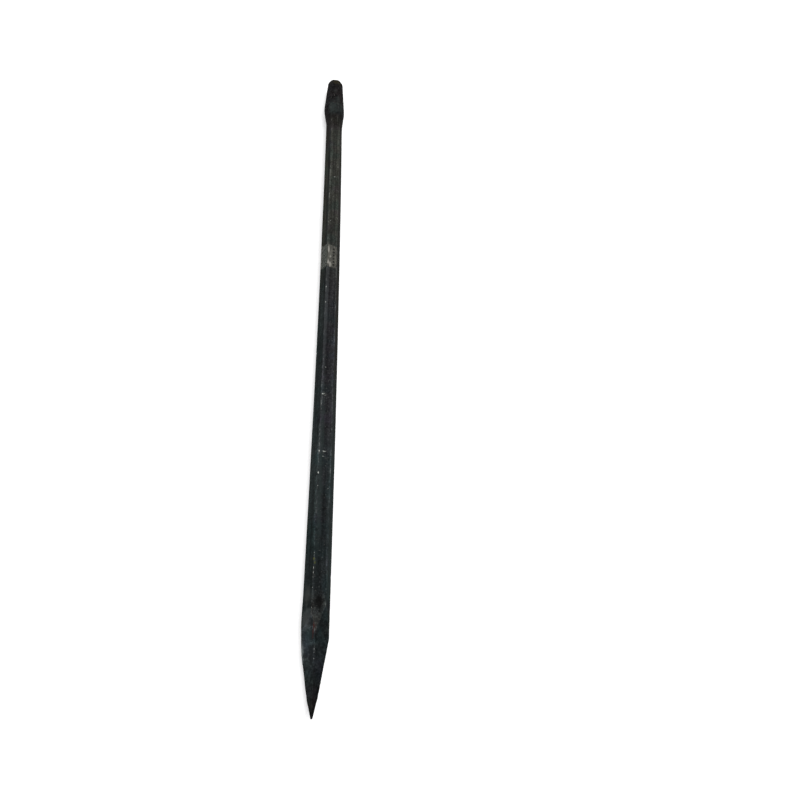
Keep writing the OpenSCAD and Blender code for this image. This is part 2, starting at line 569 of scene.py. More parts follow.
def tape_film():
    """A closed film over the bar's surface, with bubbles and slightly skewed edges."""
    angles = np.linspace(TAPE_FROM, TAPE_TO, round((TAPE_FROM - TAPE_TO) / TAPE_STEP))
    along = np.linspace(0, 1, TAPE_ROWS)[:, None]
    wrapped = (TAPE_FROM - angles[None, :]) / (TAPE_FROM - TAPE_TO)
    ragged = TAPE_RAGGED * np.sin(angles[None, :] * TAPE_RAGGED_WAVES)
    low_edge = TAPE_START + TAPE_SKEW_LOW * wrapped + ragged
    high_edge = TAPE_END + TAPE_SKEW_HIGH * wrapped
    s = low_edge + (high_edge - low_edge) * along
    steel, _ = bar_surface(s, angles[None, :])
    outward = np.stack([np.sin(angles), 0 * angles, np.cos(angles)], axis=-1)[None]
    bubble = np.zeros_like(s)
    for bubble_s, across, half_length, half_width in BUBBLES:
        sideways = (steel[..., 0] - bow(bubble_s) - across) / half_width
        bubble = np.maximum(bubble, np.exp(-sideways**2 - ((s - bubble_s) / half_length) ** 2))
    bubble = bubble + BUBBLE_RAGGED * bumps(steel, BUBBLE_RAGGED_SIZE, FILM_SEED)
    bubble = smoothstep(*BUBBLE_EDGE, bubble) * (np.abs(angles) < math.pi / 2)
    outer = steel + outward * (TAPE_OUTER + BUBBLE_LIFT * bubble)[..., None]
    inner = steel + outward * TAPE_INNER
    vertices = np.concatenate([outer.reshape(-1, 3), inner.reshape(-1, 3)])
    lifted = np.concatenate([bubble.ravel(), bubble.ravel()])
    return new_mesh("tape_film", to_metres(vertices), film_faces(*s.shape), {"lifted_film": lifted})


point_rings = stations(TIP_FIRST_RING, POINT_END, END_STEP, TIP_RINGS)
shaft_rings = stations(POINT_END, HEAD_START, SHAFT_STEP)
face_edge_rings = [BAR_LENGTH - FACE_EDGE * share for share in FACE_EDGE_RINGS]
head_rings = stations(HEAD_START, BAR_LENGTH, END_STEP, face_edge_rings)

point_piece = bar_piece("point_forged", point_rings, "tip", "joint")
shaft_piece = bar_piece("shaft_rolled", shaft_rings, "joint", "joint")
head_piece = bar_piece("head_upset", head_rings, "joint", "face")
tape_piece = tape_film()


# Node helpers

def srgb(red, green, blue):
    """A linear colour from the 0 to 255 values of a screen."""
    parts = [c / 255 for c in (red, green, blue)]
    return (*[p / 12.92 if p <= 0.04045 else ((p + 0.055) / 1.055) ** 2.4 for p in parts], 1)


def y_at(s):
    """Place along the part's Y, in metres, of a distance from the tip."""
    return s * MM + TIP_Y


class Nodes:
    """Short calls to add and join the nodes of one shader tree."""

    def __init__(self, tree):
        self.tree = tree

    def add(self, kind, inputs=(), **settings):
        """Adds a node; each input takes a plain value or the output of another node."""
        node = self.tree.nodes.new("ShaderNode" + kind)
        for name, value in settings.items():
            setattr(node, name, value)
        for key, value in dict(inputs).items():
            if isinstance(value, bpy.types.NodeSocket):
                self.tree.links.new(value, node.inputs[key])
            else:
                node.inputs[key].default_value = value
        return node

    def group(self, tree, inputs):
        """Places a node group and gives its outputs."""
        return self.add("Group", inputs, node_tree=tree).outputs

    def mask(self, label):
        """A mask that the mesh carries."""
        return self.add("Attribute", attribute_name=label).outputs["Fac"]

    def math(self, operation, first, second=0.0, clamp=False):
        """One sum on two values."""
        return self.add("Math", {0: first, 1: second}, operation=operation, use_clamp=clamp).outputs[0]

    def times(self, product, *factors):
        """The product of all the values."""
        for factor in factors:
            product = self.math("MULTIPLY", product, factor)
        return product

    def vector(self, operation, first, second):
        """One sum on two places, axis by axis."""
        return self.add("VectorMath", {0: first, 1: second}, operation=operation).outputs[0]

    def length(self, place):
        """Distance of a place from the origin."""
        return self.add("VectorMath", {0: place}, operation="LENGTH").outputs["Value"]

    def mix(self, share, first, second, blend="MIX"):
        """A colour between two others, or the first one blended with the second."""
        node = self.add("Mix", {0: share, 6: first, 7: second}, data_type="RGBA", blend_type=blend)
        return node.outputs[2]

    def ramp(self, value, low, high, start=0.0, end=1.0):
        """A smooth change from start to end while the value goes from low to high."""
        inputs = {"Value": value, "From Min": low, "From Max": high, "To Min": start, "To Max": end}
        return self.add("MapRange", inputs, interpolation_type="SMOOTHSTEP").outputs[0]

    def between(self, mask, off, on):
        """A value that is off where the mask is 0 and on where it is 1."""
        return self.ramp(mask, 0, 1, off, on)

    def grain(self, place, density, detail=2.0, roughness=0.5):
        """Cloudy unevenness, with this many clouds a metre."""
        inputs = {"Vector": place, "Scale": density, "Detail": detail, "Roughness": roughness}
        return self.add("TexNoise", inputs).outputs[0]


class BarPlace:
    """Smooth changes along, above and across the bar, over ranges in millimetres."""

    def __init__(self, nodes, place):
        self.nodes = nodes
        self.parts = nodes.add("SeparateXYZ", {0: place}).outputs

    def along(self, reach, start=0.0, end=1.0):
        """A change between two distances from the tip."""
        first, last = reach
        return self.nodes.ramp(self.parts["Y"], y_at(first), y_at(last), start, end)

    def above(self, reach, start=0.0, end=1.0):
        """A change between two heights above the axis."""
        low, high = reach
        return self.nodes.ramp(self.parts["Z"], AXIS_Z + low * MM, AXIS_Z + high * MM, start, end)

    def across(self, reach, start=0.0, end=1.0):
        """A change between two places across the part, which are less than 0 on the left."""
        first, last = reach
        return self.nodes.ramp(self.parts["X"], first * MM, last * MM, start, end)


def new_group(name, inputs, outputs):
    """An empty node group: its tree, its nodes, its input sockets and its output node."""
    tree = bpy.data.node_groups.new(name, "ShaderNodeTree")
    for label, kind in inputs.items():
        tree.interface.new_socket(label, in_out="INPUT", socket_type="NodeSocket" + kind)
    for label, kind in outputs.items():
        tree.interface.new_socket(label, in_out="OUTPUT", socket_type="NodeSocket" + kind)
    source = tree.nodes.new("NodeGroupInput")
    result = tree.nodes.new("NodeGroupOutput")
    return tree, Nodes(tree), source.outputs, result


def finish_group(tree, result, outputs):
    """Joins the outputs of a node group, and gives its tree."""
    for label, socket in outputs.items():
        tree.links.new(socket, result.inputs[label])
    return tree


# Colours of the scale from the head to the tip, and of what shows through it or lies on it, and colours
# painted as light and shade on the side faces, the point's facets and along the corners
HEAD_SCALE = srgb(25, 22, 23)
CROWN_SCALE = srgb(50, 56, 55)
WARM_SCALE = srgb(51, 51, 47)
# Painted shade on the upper side faces, darker than the top
PAINTED_WARM_SIDE_SHADE = srgb(45, 45, 40)
# Painted shadow on the far side face, and deeper painted shadow on it
PAINTED_FAR_SIDE_SHADOW = srgb(38, 37, 34)
PAINTED_DEEP_SIDE_SHADOW = srgb(22, 22, 20)
NECK_SCALE = srgb(33, 32, 29)
COOL_SCALE = srgb(37, 37, 39)
DARK_SCALE = srgb(28, 31, 32)
# Painted light on the side faces, greener than the top; painted shade beside the upper left corner; painted
# light on the lower side faces, whose colour is also a stain on the crown
PAINTED_SIDE_LIGHT = srgb(36, 41, 41)
CORNER_SHADE = srgb(25, 28, 29)
PAINTED_LOW_SIDE_LIGHT_AND_CROWN_STAIN = srgb(29, 34, 34)
RUNOUT_SCALE = srgb(38, 39, 38)
RUNOUT_PALE_SCALE = srgb(46, 47, 46)
# Point facets: painted light on the left ones, less of it lower on them, and painted shade on the right
# ones
POINT_LEFT_PAINTED_LIGHT = srgb(51, 56, 58)
POINT_LOW_SCALE = srgb(37, 42, 42)
POINT_RIGHT_PAINTED_SHADE = srgb(32, 36, 37)
TIP_LEFT_SCALE = srgb(35, 35, 34)
TIP_SCALE = srgb(26, 24, 24)
BARE_STEEL = srgb(185, 187, 182)
PALE_SCALE = srgb(84, 85, 82)
BLUE_SCALE = srgb(44, 53, 58)
TEAL_SCALE = srgb(36, 49, 50)
SCUFFED_SCALE = srgb(80, 83, 82)
# Painted sheen and highlights: light bands along the corners and on the right side face, a grey highlight
# by the upper left corner, and a highlight on the rim of the point's lower left facet
PAINTED_LIGHT_BAND = srgb(44, 52, 51)
PAINTED_GREY_HIGHLIGHT = srgb(66, 69, 71)
PAINTED_RIM_HIGHLIGHT = srgb(124, 130, 132)
RUST = srgb(66, 32, 28)
OCHRE = srgb(94, 96, 42)
OLIVE_SCALE = srgb(42, 39, 28)
STRUCK_SCALE = srgb(72, 70, 66)
SOOT = srgb(12, 12, 12)

# Tints that the scale is multiplied by; the rubbed one is scale rubbed thin at the edges and painted sheen
# along them
GREEN_TINT = (0.82, 1.03, 1.03, 1)
VIOLET_TINT = (1.06, 0.94, 1.1, 1)
BURNT_TINT = (0.28, 0.26, 0.27, 1)
TEMPER_TINT = (1.24, 1.3, 1.3, 1)
FLAKED_TINT = (2.2, 2.12, 2.0, 1)
RUBBED_SHEEN_TINT = (3.2, 3.3, 3.3, 1)

# Colours of the tape
FILM_DIM = srgb(89, 88, 83)
FILM_HAZE = srgb(102, 101, 94)
# Painted shade on the film over the left side faces
FILM_SIDE_PAINTED_SHADE = srgb(74, 78, 72)
FILM_FOLD = srgb(118, 115, 112)
FILM_BUBBLE = srgb(144, 142, 135)
LINE_INK = srgb(14, 14, 13)


# Shared effects; a range of four gives a value's low and high, and what it is changed to there

# Where the colour of the scale, and the painted light and shade on the side faces, change along the bar, in
# millimetres from the tip
UPPER_SHAFT = (560, 760)
LOWER_SHAFT = (430, 170)
UPPER_SIDES = (560, 720)
LOWER_SIDES = (340, 190)
FAR_SIDE_ALONG = (300, 520)
CORNER_SHADE_ALONG = (290, 340)
NECK_ALONG = (HEAD_START - 25, HEAD_START + 8)
HEAD_ALONG = (HEAD_START + 8, HEAD_START + 45)
HAMMERED_ALONG = (POINT_END + 10, POINT_END - 14)
PALE_RUNOUT_ALONG = (114, 102)
LOW_FACETS = (66, 52)
NEAR_TIP = (52, 26)
TIP_ALONG = (20, 6)

# Where it changes with the height above the axis and across the part, in millimetres
TOP_FLAT = (12.4, 13.5)
FAR_SIDE_ACROSS = (6, 9)
CORNER_SHADE_ABOVE = (7, 11.5)
CORNER_SHADE_ACROSS = (-6, -8)

# Strength of the shade beside the upper left corner
CORNER_SHADE_DEPTH = 0.7

# Cloudy tints: clouds a metre, and range
GREEN_CLOUDS = 34.0
GREEN_RANGE = (0.46, 0.64, 0.0, 0.8)
VIOLET_CLOUDS = 27.0
VIOLET_RANGE = (0.54, 0.7)

# How far the runout of the point counts as forged
HAMMERED_SHARE = 0.6


def zone_colour(nodes, bar, given):
    """Colour of the scale along the bar, with cloudy tints, and painted light and shade: colours of their
    own on the side faces and on the point's left and right facets, and painted shadow on the far side.
    """
    top = bar.above(TOP_FLAT)
    colour = nodes.mix(bar.along(UPPER_SHAFT), COOL_SCALE, WARM_SCALE)
    colour = nodes.mix(bar.along(LOWER_SHAFT), colour, DARK_SCALE)

    # Painted light and shade: the side faces get colours of their own, with painted shadow on the far side
    # and painted shade beside the upper left corner
    painted_side_colour = nodes.mix(bar.along(UPPER_SIDES), PAINTED_SIDE_LIGHT, PAINTED_WARM_SIDE_SHADE)
    painted_side_colour = nodes.mix(bar.along(LOWER_SIDES), painted_side_colour, PAINTED_LOW_SIDE_LIGHT_AND_CROWN_STAIN)
    far_side_shadow = nodes.times(bar.across(FAR_SIDE_ACROSS), bar.along(FAR_SIDE_ALONG))
    painted_side_colour = nodes.mix(far_side_shadow, painted_side_colour, PAINTED_FAR_SIDE_SHADOW)
    shade = nodes.times(
        bar.above(CORNER_SHADE_ABOVE),
        bar.along(CORNER_SHADE_ALONG),
        bar.across(CORNER_SHADE_ACROSS, 0.0, CORNER_SHADE_DEPTH),
    )
    painted_side_colour = nodes.mix(shade, painted_side_colour, CORNER_SHADE)
    colour = nodes.mix(nodes.math("SUBTRACT", 1.0, top), colour, painted_side_colour)

    colour = nodes.mix(bar.along(NECK_ALONG), colour, NECK_SCALE)
    colour = nodes.mix(bar.along(HEAD_ALONG), colour, HEAD_SCALE)

    # Painted light and shade on the point: its left facets lighter and its right facets darker
    near_tip = bar.along(NEAR_TIP)
    left_facets_painted_light = nodes.mix(bar.along(LOW_FACETS), POINT_LEFT_PAINTED_LIGHT, POINT_LOW_SCALE)
    left_facets_painted_light = nodes.mix(near_tip, left_facets_painted_light, TIP_LEFT_SCALE)
    right_facets_painted_shade = nodes.mix(near_tip, POINT_RIGHT_PAINTED_SHADE, TIP_SCALE)
    facets = nodes.mix(given["Right Face"], left_facets_painted_light, right_facets_painted_shade)
    runout_colour = nodes.mix(bar.along(PALE_RUNOUT_ALONG), RUNOUT_SCALE, RUNOUT_PALE_SCALE)
    colour = nodes.mix(nodes.times(bar.along(HAMMERED_ALONG), top), colour, runout_colour)
    colour = nodes.mix(given["Point Face"], colour, facets)
    colour = nodes.mix(bar.along(TIP_ALONG), colour, TIP_SCALE)

    green = nodes.ramp(nodes.grain(given["Place"], GREEN_CLOUDS), *GREEN_RANGE)
    colour = nodes.mix(green, colour, GREEN_TINT, "MULTIPLY")
    violet = nodes.ramp(nodes.grain(given["Place"], VIOLET_CLOUDS), *VIOLET_RANGE)
    return nodes.mix(violet, colour, VIOLET_TINT, "MULTIPLY")


# Where the rubbing of the edges and the painted sheen on them change, in millimetres along, above and
# across the bar
RIDGE_FROM = (44, 56)
RIDGE_TO = (74, 68)
RUBBED_SHEEN_ABOVE = (8, 12.5)
RIGHT_CORNER_ALONG = (230, 400)
RIGHT_CORNER_ACROSS = (3, 7)
LEFT_CORNER_ALONG = (215, 125)
LEFT_CORNER_ACROSS = (-3, -6)
QUIET_FROM = (430, 480)
QUIET_TO = (690, 640)
WIDER_ALONG = (420, 260)
NARROWER_ALONG = (190, 130)

# Shares of the rubbing and painted sheen that show, off and on each of those places
RUBBED_SHEEN_FORGED = (1.0, 0.3)
RUBBED_SHEEN_RIDGE = 0.25
RUBBED_SHEEN_UPPER = (1.0, 0.45)
RUBBED_SHEEN_LOWER = (1.05, 1.25)
RUBBED_SHEEN_HEIGHT = (0.25, 1.0)
RUBBED_SHEEN_RIGHT = (1.0, 0.4)
RUBBED_SHEEN_LEFT = (1.0, 0.25)
RUBBED_SHEEN_QUIET = (1.0, 0.6)
WORN_LOWER = (0.45, 0.1)
WORN_QUIET = (1.0, 0.5)

# Reach of the rubbing and painted sheen from an edge, before and past the two stretches where it changes
WIDER_REACH = (0.0, 0.05)
NARROWER_REACH = (0.13, 0.06)


def zone_rubbing_and_sheen(nodes, bar, point, forged_ends):
    """Where the edges are rubbed and painted with sheen, where they are worn bright, and how far that
    reaches from them.
    """
    lower = bar.along(LOWER_SHAFT)
    ridge = nodes.times(bar.along(RIDGE_FROM), bar.along(RIDGE_TO), point)
    rubbed_and_sheen = nodes.between(forged_ends, *RUBBED_SHEEN_FORGED)
    rubbed_and_sheen = nodes.math("ADD", rubbed_and_sheen, nodes.times(ridge, RUBBED_SHEEN_RIDGE))
    right_corner = nodes.times(bar.across(RIGHT_CORNER_ACROSS), bar.along(RIGHT_CORNER_ALONG))
    left_corner = nodes.times(bar.across(LEFT_CORNER_ACROSS), bar.along(LEFT_CORNER_ALONG))
    quiet = nodes.times(bar.along(QUIET_FROM), bar.along(QUIET_TO), bar.across(LEFT_CORNER_ACROSS))
    rubbed_and_sheen = nodes.times(
        rubbed_and_sheen,
        nodes.between(bar.along(UPPER_SHAFT), *RUBBED_SHEEN_UPPER),
        nodes.between(lower, *RUBBED_SHEEN_LOWER),
        bar.above(RUBBED_SHEEN_ABOVE, *RUBBED_SHEEN_HEIGHT),
        nodes.between(right_corner, *RUBBED_SHEEN_RIGHT),
        nodes.between(left_corner, *RUBBED_SHEEN_LEFT),
        nodes.between(quiet, *RUBBED_SHEEN_QUIET),
    )
    worn = nodes.times(rubbed_and_sheen, nodes.between(lower, *WORN_LOWER), nodes.between(quiet, *WORN_QUIET))
    narrower = bar.along(NARROWER_ALONG, *NARROWER_REACH)
    reach = nodes.math("ADD", narrower, bar.along(WIDER_ALONG, *WIDER_REACH))
    return {"Rubbed And Sheen": rubbed_and_sheen, "Worn": worn, "Reach": reach}


# Share of the light flecks that show, off and on each part of the bar
SPECKLE_TOP = (0.15, 0.8)
SPECKLE_LOWER = (1.0, 0.6)
SPECKLE_FORGED = (1.0, 0.2)
SPECKLE_RUNOUT = (0.6, 0.0)
SPARKLE_ALONG = (470, 540)
SPARKLE = (1.0, 1.5)
SPARKLE_UPPER = (1.0, 0.67)


def zone_speckle(nodes, bar, point, forged_ends):
    """How many of the light flecks show."""
    top = bar.above(TOP_FLAT)
    speckle = nodes.times(
        nodes.between(top, *SPECKLE_TOP),
        nodes.between(bar.along(LOWER_SHAFT), *SPECKLE_LOWER),
        nodes.between(forged_ends, *SPECKLE_FORGED),
    )
    sparkle = nodes.between(bar.along(UPPER_SHAFT), *SPARKLE_UPPER)
    sparkle = nodes.times(bar.along(SPARKLE_ALONG, *SPARKLE), sparkle)
    speckle = nodes.math("MULTIPLY", speckle, sparkle, clamp=True)
    runout = nodes.times(bar.along(HAMMERED_ALONG), top, nodes.between(point, *SPECKLE_RUNOUT))
    return nodes.math("MAXIMUM", speckle, runout)


def make_steel_zones():
    """Colour of the scale along the bar with its painted light and shade, and masks of where its other
    effects, and the painted sheen on the edges, show.
    """
    outputs = {
        "Colour": "Color",
        "Forged": "Float",
        "Rubbed And Sheen": "Float",
        "Worn": "Float",
        "Reach": "Float",
        "Speckle": "Float",
    }
    tree, nodes, given, result = new_group(
        "steel_zones",
        {"Place": "Vector", "Point Face": "Float", "Right Face": "Float"},
        outputs,
    )
    bar = BarPlace(nodes, given["Place"])
    point = given["Point Face"]
    hammered = nodes.math("MAXIMUM", point, nodes.times(bar.along(HAMMERED_ALONG), HAMMERED_SHARE))
    forged_ends = nodes.math("MAXIMUM", bar.along(HEAD_ALONG), hammered)
    return finish_group(tree, result, {
        "Colour": zone_colour(nodes, bar, given),
        "Forged": forged_ends,
        "Speckle": zone_speckle(nodes, bar, point, forged_ends),
        **zone_rubbing_and_sheen(nodes, bar, point, forged_ends),
    })


# Scale: ranges of its patches, grain and pits, and their shares in its height
PATCH_RANGE = (0.3, 0.7, 0.86, 1.14)
GRAIN_RANGE = (0.36, 0.66, 0.55, 1.6)
PIT_FINENESS = 0.55
PIT_RANGE = (0.6, 0.72)
PATCH_HEIGHT = 0.4
GRAIN_HEIGHT = 0.6
PIT_HEIGHT = 0.5


def make_scale_skin():
    """Oxide scale on hot-worked steel: cloudy patches, speckled grain and small pits."""
    tree, nodes, given, result = new_group(
        "scale_skin",
        {"Place": "Vector", "Patches": "Float", "Grain": "Float"},
        {"Tone": "Float", "Grain": "Float", "Pit": "Float", "Height": "Float"},
    )
    patch = nodes.grain(given["Place"], given["Patches"], detail=3, roughness=0.6)
    grain = nodes.grain(given["Place"], given["Grain"], detail=5, roughness=0.75)
    pit_density = nodes.times(given["Grain"], PIT_FINENESS)
    pit = nodes.ramp(nodes.grain(given["Place"], pit_density, detail=1, roughness=0.4), *PIT_RANGE)
    tone = nodes.times(nodes.ramp(patch, *PATCH_RANGE), nodes.ramp(grain, *GRAIN_RANGE))
    raised = nodes.math("ADD", nodes.times(patch, PATCH_HEIGHT), nodes.times(grain, GRAIN_HEIGHT))
    height = nodes.math("SUBTRACT", raised, nodes.times(pit, PIT_HEIGHT))
    return finish_group(tree, result, {"Tone": tone, "Grain": grain, "Pit": pit, "Height": height})


# Rolling lines: how they are drawn out along the bar, and their range
LINE_STRETCH = (1, 0.03, 1)
LINE_RANGE = (0.35, 0.66, 0.68, 1.36)


def make_rolling_lines():
    """Fine lines that the rolls leave along the bar."""
    tree, nodes, given, result = new_group(
        "rolling_lines",
        {"Place": "Vector", "Density": "Float"},
        {"Tone": "Float"},
    )
    drawn = nodes.vector("MULTIPLY", given["Place"], LINE_STRETCH)
    lines = nodes.grain(drawn, given["Density"], roughness=0.6)
    return finish_group(tree, result, {"Tone": nodes.ramp(lines, *LINE_RANGE)})


# Rubbed edges with painted sheen: how their breaks are drawn out, the bright core of an edge, and ranges of
# the breaks
BREAK_STRETCH = (1, 0.35, 1)
EDGE_CORE = (0.93, 1.0)
BRIGHT_RANGE = (0.48, 0.66)
UNEVEN_RANGE = (0.34, 0.64, 0.35, 1.1)


def make_rubbed_edge_sheen():
    """Scale rubbed thin along edges, with painted sheen on them, broken up by the grain of the steel."""
    tree, nodes, given, result = new_group(
        "rubbed_edges",
        {"Edge": "Float", "Place": "Vector", "Reach": "Float", "Breaks": "Float"},
        {"Soft": "Float", "Bright": "Float"},
    )
    power = nodes.math("DIVIDE", 1.0, given["Reach"])
    soft = nodes.math("POWER", given["Edge"], power)
    drawn = nodes.vector("MULTIPLY", given["Place"], BREAK_STRETCH)
    broken = nodes.grain(drawn, given["Breaks"], detail=3, roughness=0.6)
    bright = nodes.times(nodes.ramp(given["Edge"], *EDGE_CORE), nodes.ramp(broken, *BRIGHT_RANGE))
    uneven = nodes.ramp(broken, *UNEVEN_RANGE)
    return finish_group(tree, result, {"Soft": nodes.times(soft, uneven), "Bright": bright})


# Ragged patches, for stains and for painted light and shade: how ragged they are, and the range in which
# they fade out
PATCH_RAGGED = 1.6
PATCH_FADE = (1.75, 1.0)


def make_ragged_patch():
    """One patch with a ragged edge round a place on the surface, used for stains and for painted light and
    shade.
    """
    tree, nodes, given, result = new_group(
        "ragged_patch",
        {"Place": "Vector", "Centre": "Vector", "Reach": "Vector", "Breaks": "Float"},
        {"Mask": "Float"},
    )
    away = nodes.vector("SUBTRACT", given["Place"], given["Centre"])
    distance = nodes.length(nodes.vector("DIVIDE", away, given["Reach"]))
    ragged = nodes.grain(given["Place"], given["Breaks"], detail=3, roughness=0.6)
    distance = nodes.math("ADD", distance, nodes.times(ragged, PATCH_RAGGED))
    return finish_group(tree, result, {"Mask": nodes.ramp(distance, *PATCH_FADE)})


# Blotches: ranges of burnt and flaked scale, and the fineness and share of the flakes
BURNT_RANGE = (0.44, 0.58)
FLAKED_RANGE = (0.5, 0.64)
FLAKED_FINENESS = 2.3
FLAKED_SHARE = 0.7


def make_blotches():
    """Temper colours and burnt scale in blotches, as a tint to multiply by."""
    tree, nodes, given, result = new_group(
        "blotches",
        {"Place": "Vector", "Density": "Float"},
        {"Tint": "Color"},
    )
    fine = nodes.times(given["Density"], FLAKED_FINENESS)
    burnt = nodes.ramp(nodes.grain(given["Place"], given["Density"], 4, 0.6), *BURNT_RANGE)
    flaked = nodes.ramp(nodes.grain(given["Place"], fine, 3, 0.6), *FLAKED_RANGE)
    tint = nodes.mix(burnt, BURNT_TINT, TEMPER_TINT)
    tint = nodes.mix(nodes.times(flaked, FLAKED_SHARE), tint, FLAKED_TINT)
    return finish_group(tree, result, {"Tint": tint})


# Flecks: how far their edges wander in metres, their sizes as shares of their cells, and their soft rim
FLECK_WANDER = (0.0016, 0.0016, 0.0016)
FLECK_SIZES = (0.16, 0.42)
FLECK_RIM = (0.0, 0.1)


def make_flecks():
    """Pin-point light flecks scattered over the scale."""
    tree, nodes, given, result = new_group(
        "flecks",
        {"Place": "Vector", "Density": "Float", "Share": "Float"},
        {"Mask": "Float"},
    )
    wavering = nodes.add("TexNoise", {"Vector": given["Place"], "Scale": given["Density"], "Detail": 3.0})
    wander = nodes.vector("MULTIPLY", wavering.outputs["Color"], FLECK_WANDER)
    ragged = nodes.vector("ADD", given["Place"], wander)
    cells = nodes.add("TexVoronoi", {"Vector": ragged, "Scale": given["Density"]})
    chance = nodes.add("SeparateColor", {0: cells.outputs["Color"]}).outputs
    picked = nodes.math("LESS_THAN", chance[0], given["Share"])
    size = nodes.between(chance[1], *FLECK_SIZES)
    dot = nodes.ramp(nodes.math("SUBTRACT", size, cells.outputs["Distance"]), *FLECK_RIM)
    return finish_group(tree, result, {"Mask": nodes.times(dot, picked)})


STEEL_ZONES = make_steel_zones()
SCALE_SKIN = make_scale_skin()
ROLLING_LINES = make_rolling_lines()
RUBBED_EDGE_SHEEN = make_rubbed_edge_sheen()
RAGGED_PATCH = make_ragged_patch()
BLOTCHES = make_blotches()
FLECKS = make_flecks()


# Materials

def bar_place(s, across, lift):
    """A place in metres from the distance from the tip and the places across and above the axis."""
    return ((across + bow(s)) * MM, y_at(s), lift * MM + AXIS_Z)


def new_material(name):
    """An empty material and its nodes."""
    material = bpy.data.materials.new(name)
    material.use_nodes = True
    material.node_tree.nodes.clear()
    return material, Nodes(material.node_tree)


# Steel: how many patches, grains, lines, breaks, blotches and flecks there are in a metre
SCALE_PATCHES = 110.0
SCALE_GRAIN = 480.0
LINE_DENSITY = 360.0
EDGE_BREAKS = 190.0
PATCH_BREAKS = 240.0
BLOTCH_DENSITY = 100.0
FLECK_DENSITY = 520.0

# Shares of the cells that hold a fleck, of the blotches off and on the point, and of the soot in the pits
FLECK_SHARE = 0.46
BLOTCHED_POINT = (1.0, 0.55)
SOOTED_PITS = 0.5

# Ranges of the grain where it breaks up flecks, worn edges and torn nicks, and where it makes steel rough
FLECK_GRAIN = (0.42, 0.56, 0.2, 1.0)
WORN_GRAIN = (0.4, 0.58, 0.3, 1.2)
TORN_GRAIN = (0.3, 0.7, -0.35, 0.35)
TORN_RANGE = (0.35, 0.75)
ROUGH_GRAIN = (0.3, 0.7, 0.7, 0.86)
RUBBED_SMOOTHER = 0.08
POLISHED_METALLIC = 0.6


def steel_material(name, stains_and_painted_light):
    """Scaled steel with rubbed edges and painted sheen on them, nicks bared to the metal, and its own
    stains and patches of painted light and shade.
    """
    material, nodes = new_material(name)
    place = nodes.add("TexCoord").outputs["Object"]
    edge, bare, point_face, right_face = [nodes.mask(label) for label in MASKS]
    zones = nodes.group(STEEL_ZONES, {"Place": place, "Point Face": point_face, "Right Face": right_face})
    skin = nodes.group(SCALE_SKIN, {"Place": place, "Patches": SCALE_PATCHES, "Grain": SCALE_GRAIN})
    lines = nodes.group(ROLLING_LINES, {"Place": place, "Density": LINE_DENSITY})["Tone"]
    rubbing_and_sheen = {"Edge": edge, "Place": place, "Reach": zones["Reach"], "Breaks": EDGE_BREAKS}
    rubbed_and_sheen = nodes.group(RUBBED_EDGE_SHEEN, rubbing_and_sheen)
    flecks = nodes.group(FLECKS, {"Place": place, "Density": FLECK_DENSITY, "Share": FLECK_SHARE})["Mask"]
    blotch = nodes.group(BLOTCHES, {"Place": place, "Density": BLOTCH_DENSITY})["Tint"]

    colour = nodes.mix(1.0, zones["Colour"], skin["Tone"], "MULTIPLY")
    blotched = nodes.times(zones["Forged"], nodes.between(point_face, *BLOTCHED_POINT))
    colour = nodes.mix(blotched, colour, blotch, "MULTIPLY")
    rolled = nodes.math("SUBTRACT", 1.0, zones["Forged"])
    colour = nodes.mix(rolled, colour, lines, "MULTIPLY")
    colour = nodes.mix(nodes.times(skin["Pit"], SOOTED_PITS), colour, SOOT)
    # Painted sheen along the edges, where the scale is also rubbed thin
    thin = nodes.math("MULTIPLY", rubbed_and_sheen["Soft"], zones["Rubbed And Sheen"], clamp=True)
    colour = nodes.mix(thin, colour, nodes.mix(1.0, colour, RUBBED_SHEEN_TINT, "MULTIPLY"))
    flecks = nodes.times(flecks, nodes.ramp(skin["Grain"], *FLECK_GRAIN), zones["Speckle"])
    colour = nodes.mix(flecks, colour, PALE_SCALE)
    for mark_colour, centre, reach, strength in stains_and_painted_light:
        reach = [r * MM for r in reach]
        inputs = {"Place": place, "Centre": centre, "Reach": reach, "Breaks": PATCH_BREAKS}
        mask = nodes.group(RAGGED_PATCH, inputs)["Mask"]
        colour = nodes.mix(nodes.times(mask, strength), colour, mark_colour)
    worn = nodes.times(rubbed_and_sheen["Bright"], zones["Worn"], nodes.ramp(skin["Grain"], *WORN_GRAIN))
    torn = nodes.math("ADD", bare, nodes.ramp(skin["Grain"], *TORN_GRAIN))
    nicked = nodes.times(nodes.ramp(torn, *TORN_RANGE), bare)
    polished = nodes.math("MAXIMUM", nicked, worn)
    colour = nodes.mix(polished, colour, BARE_STEEL)

    rough = nodes.ramp(skin["Grain"], *ROUGH_GRAIN)
    bump = nodes.add("Bump", {"Strength": 0.5, "Distance": 0.0004, "Height": skin["Height"]})
    shader = nodes.add("BsdfPrincipled", {
        "Base Color": colour,
        "Roughness": nodes.math("SUBTRACT", rough, nodes.times(rubbed_and_sheen["Soft"], RUBBED_SMOOTHER)),
        "Metallic": nodes.times(polished, POLISHED_METALLIC),
        "Specular IOR Level": 0.02,
        "Normal": bump.outputs[0],
    })
    nodes.add("OutputMaterial", {"Surface": shader.outputs[0]})
    return material


# Film: its haze, where it turns over the upper left corner into painted shade and folds round the left one
# in millimetres across, and how it covers the steel and how rough it is, from clear to hazy
HAZE_STRETCH = (1, 0.4, 1)
HAZE_DENSITY = 150.0
HAZE_RANGE = (0.35, 0.65)
FILM_SIDE_ACROSS = (-6.2, -7.8)
FILM_FOLD_ACROSS = (-13.5, -15.2)
FILM_COVER = (0.62, 0.76)
FILM_ROUGH = (0.2, 0.32)

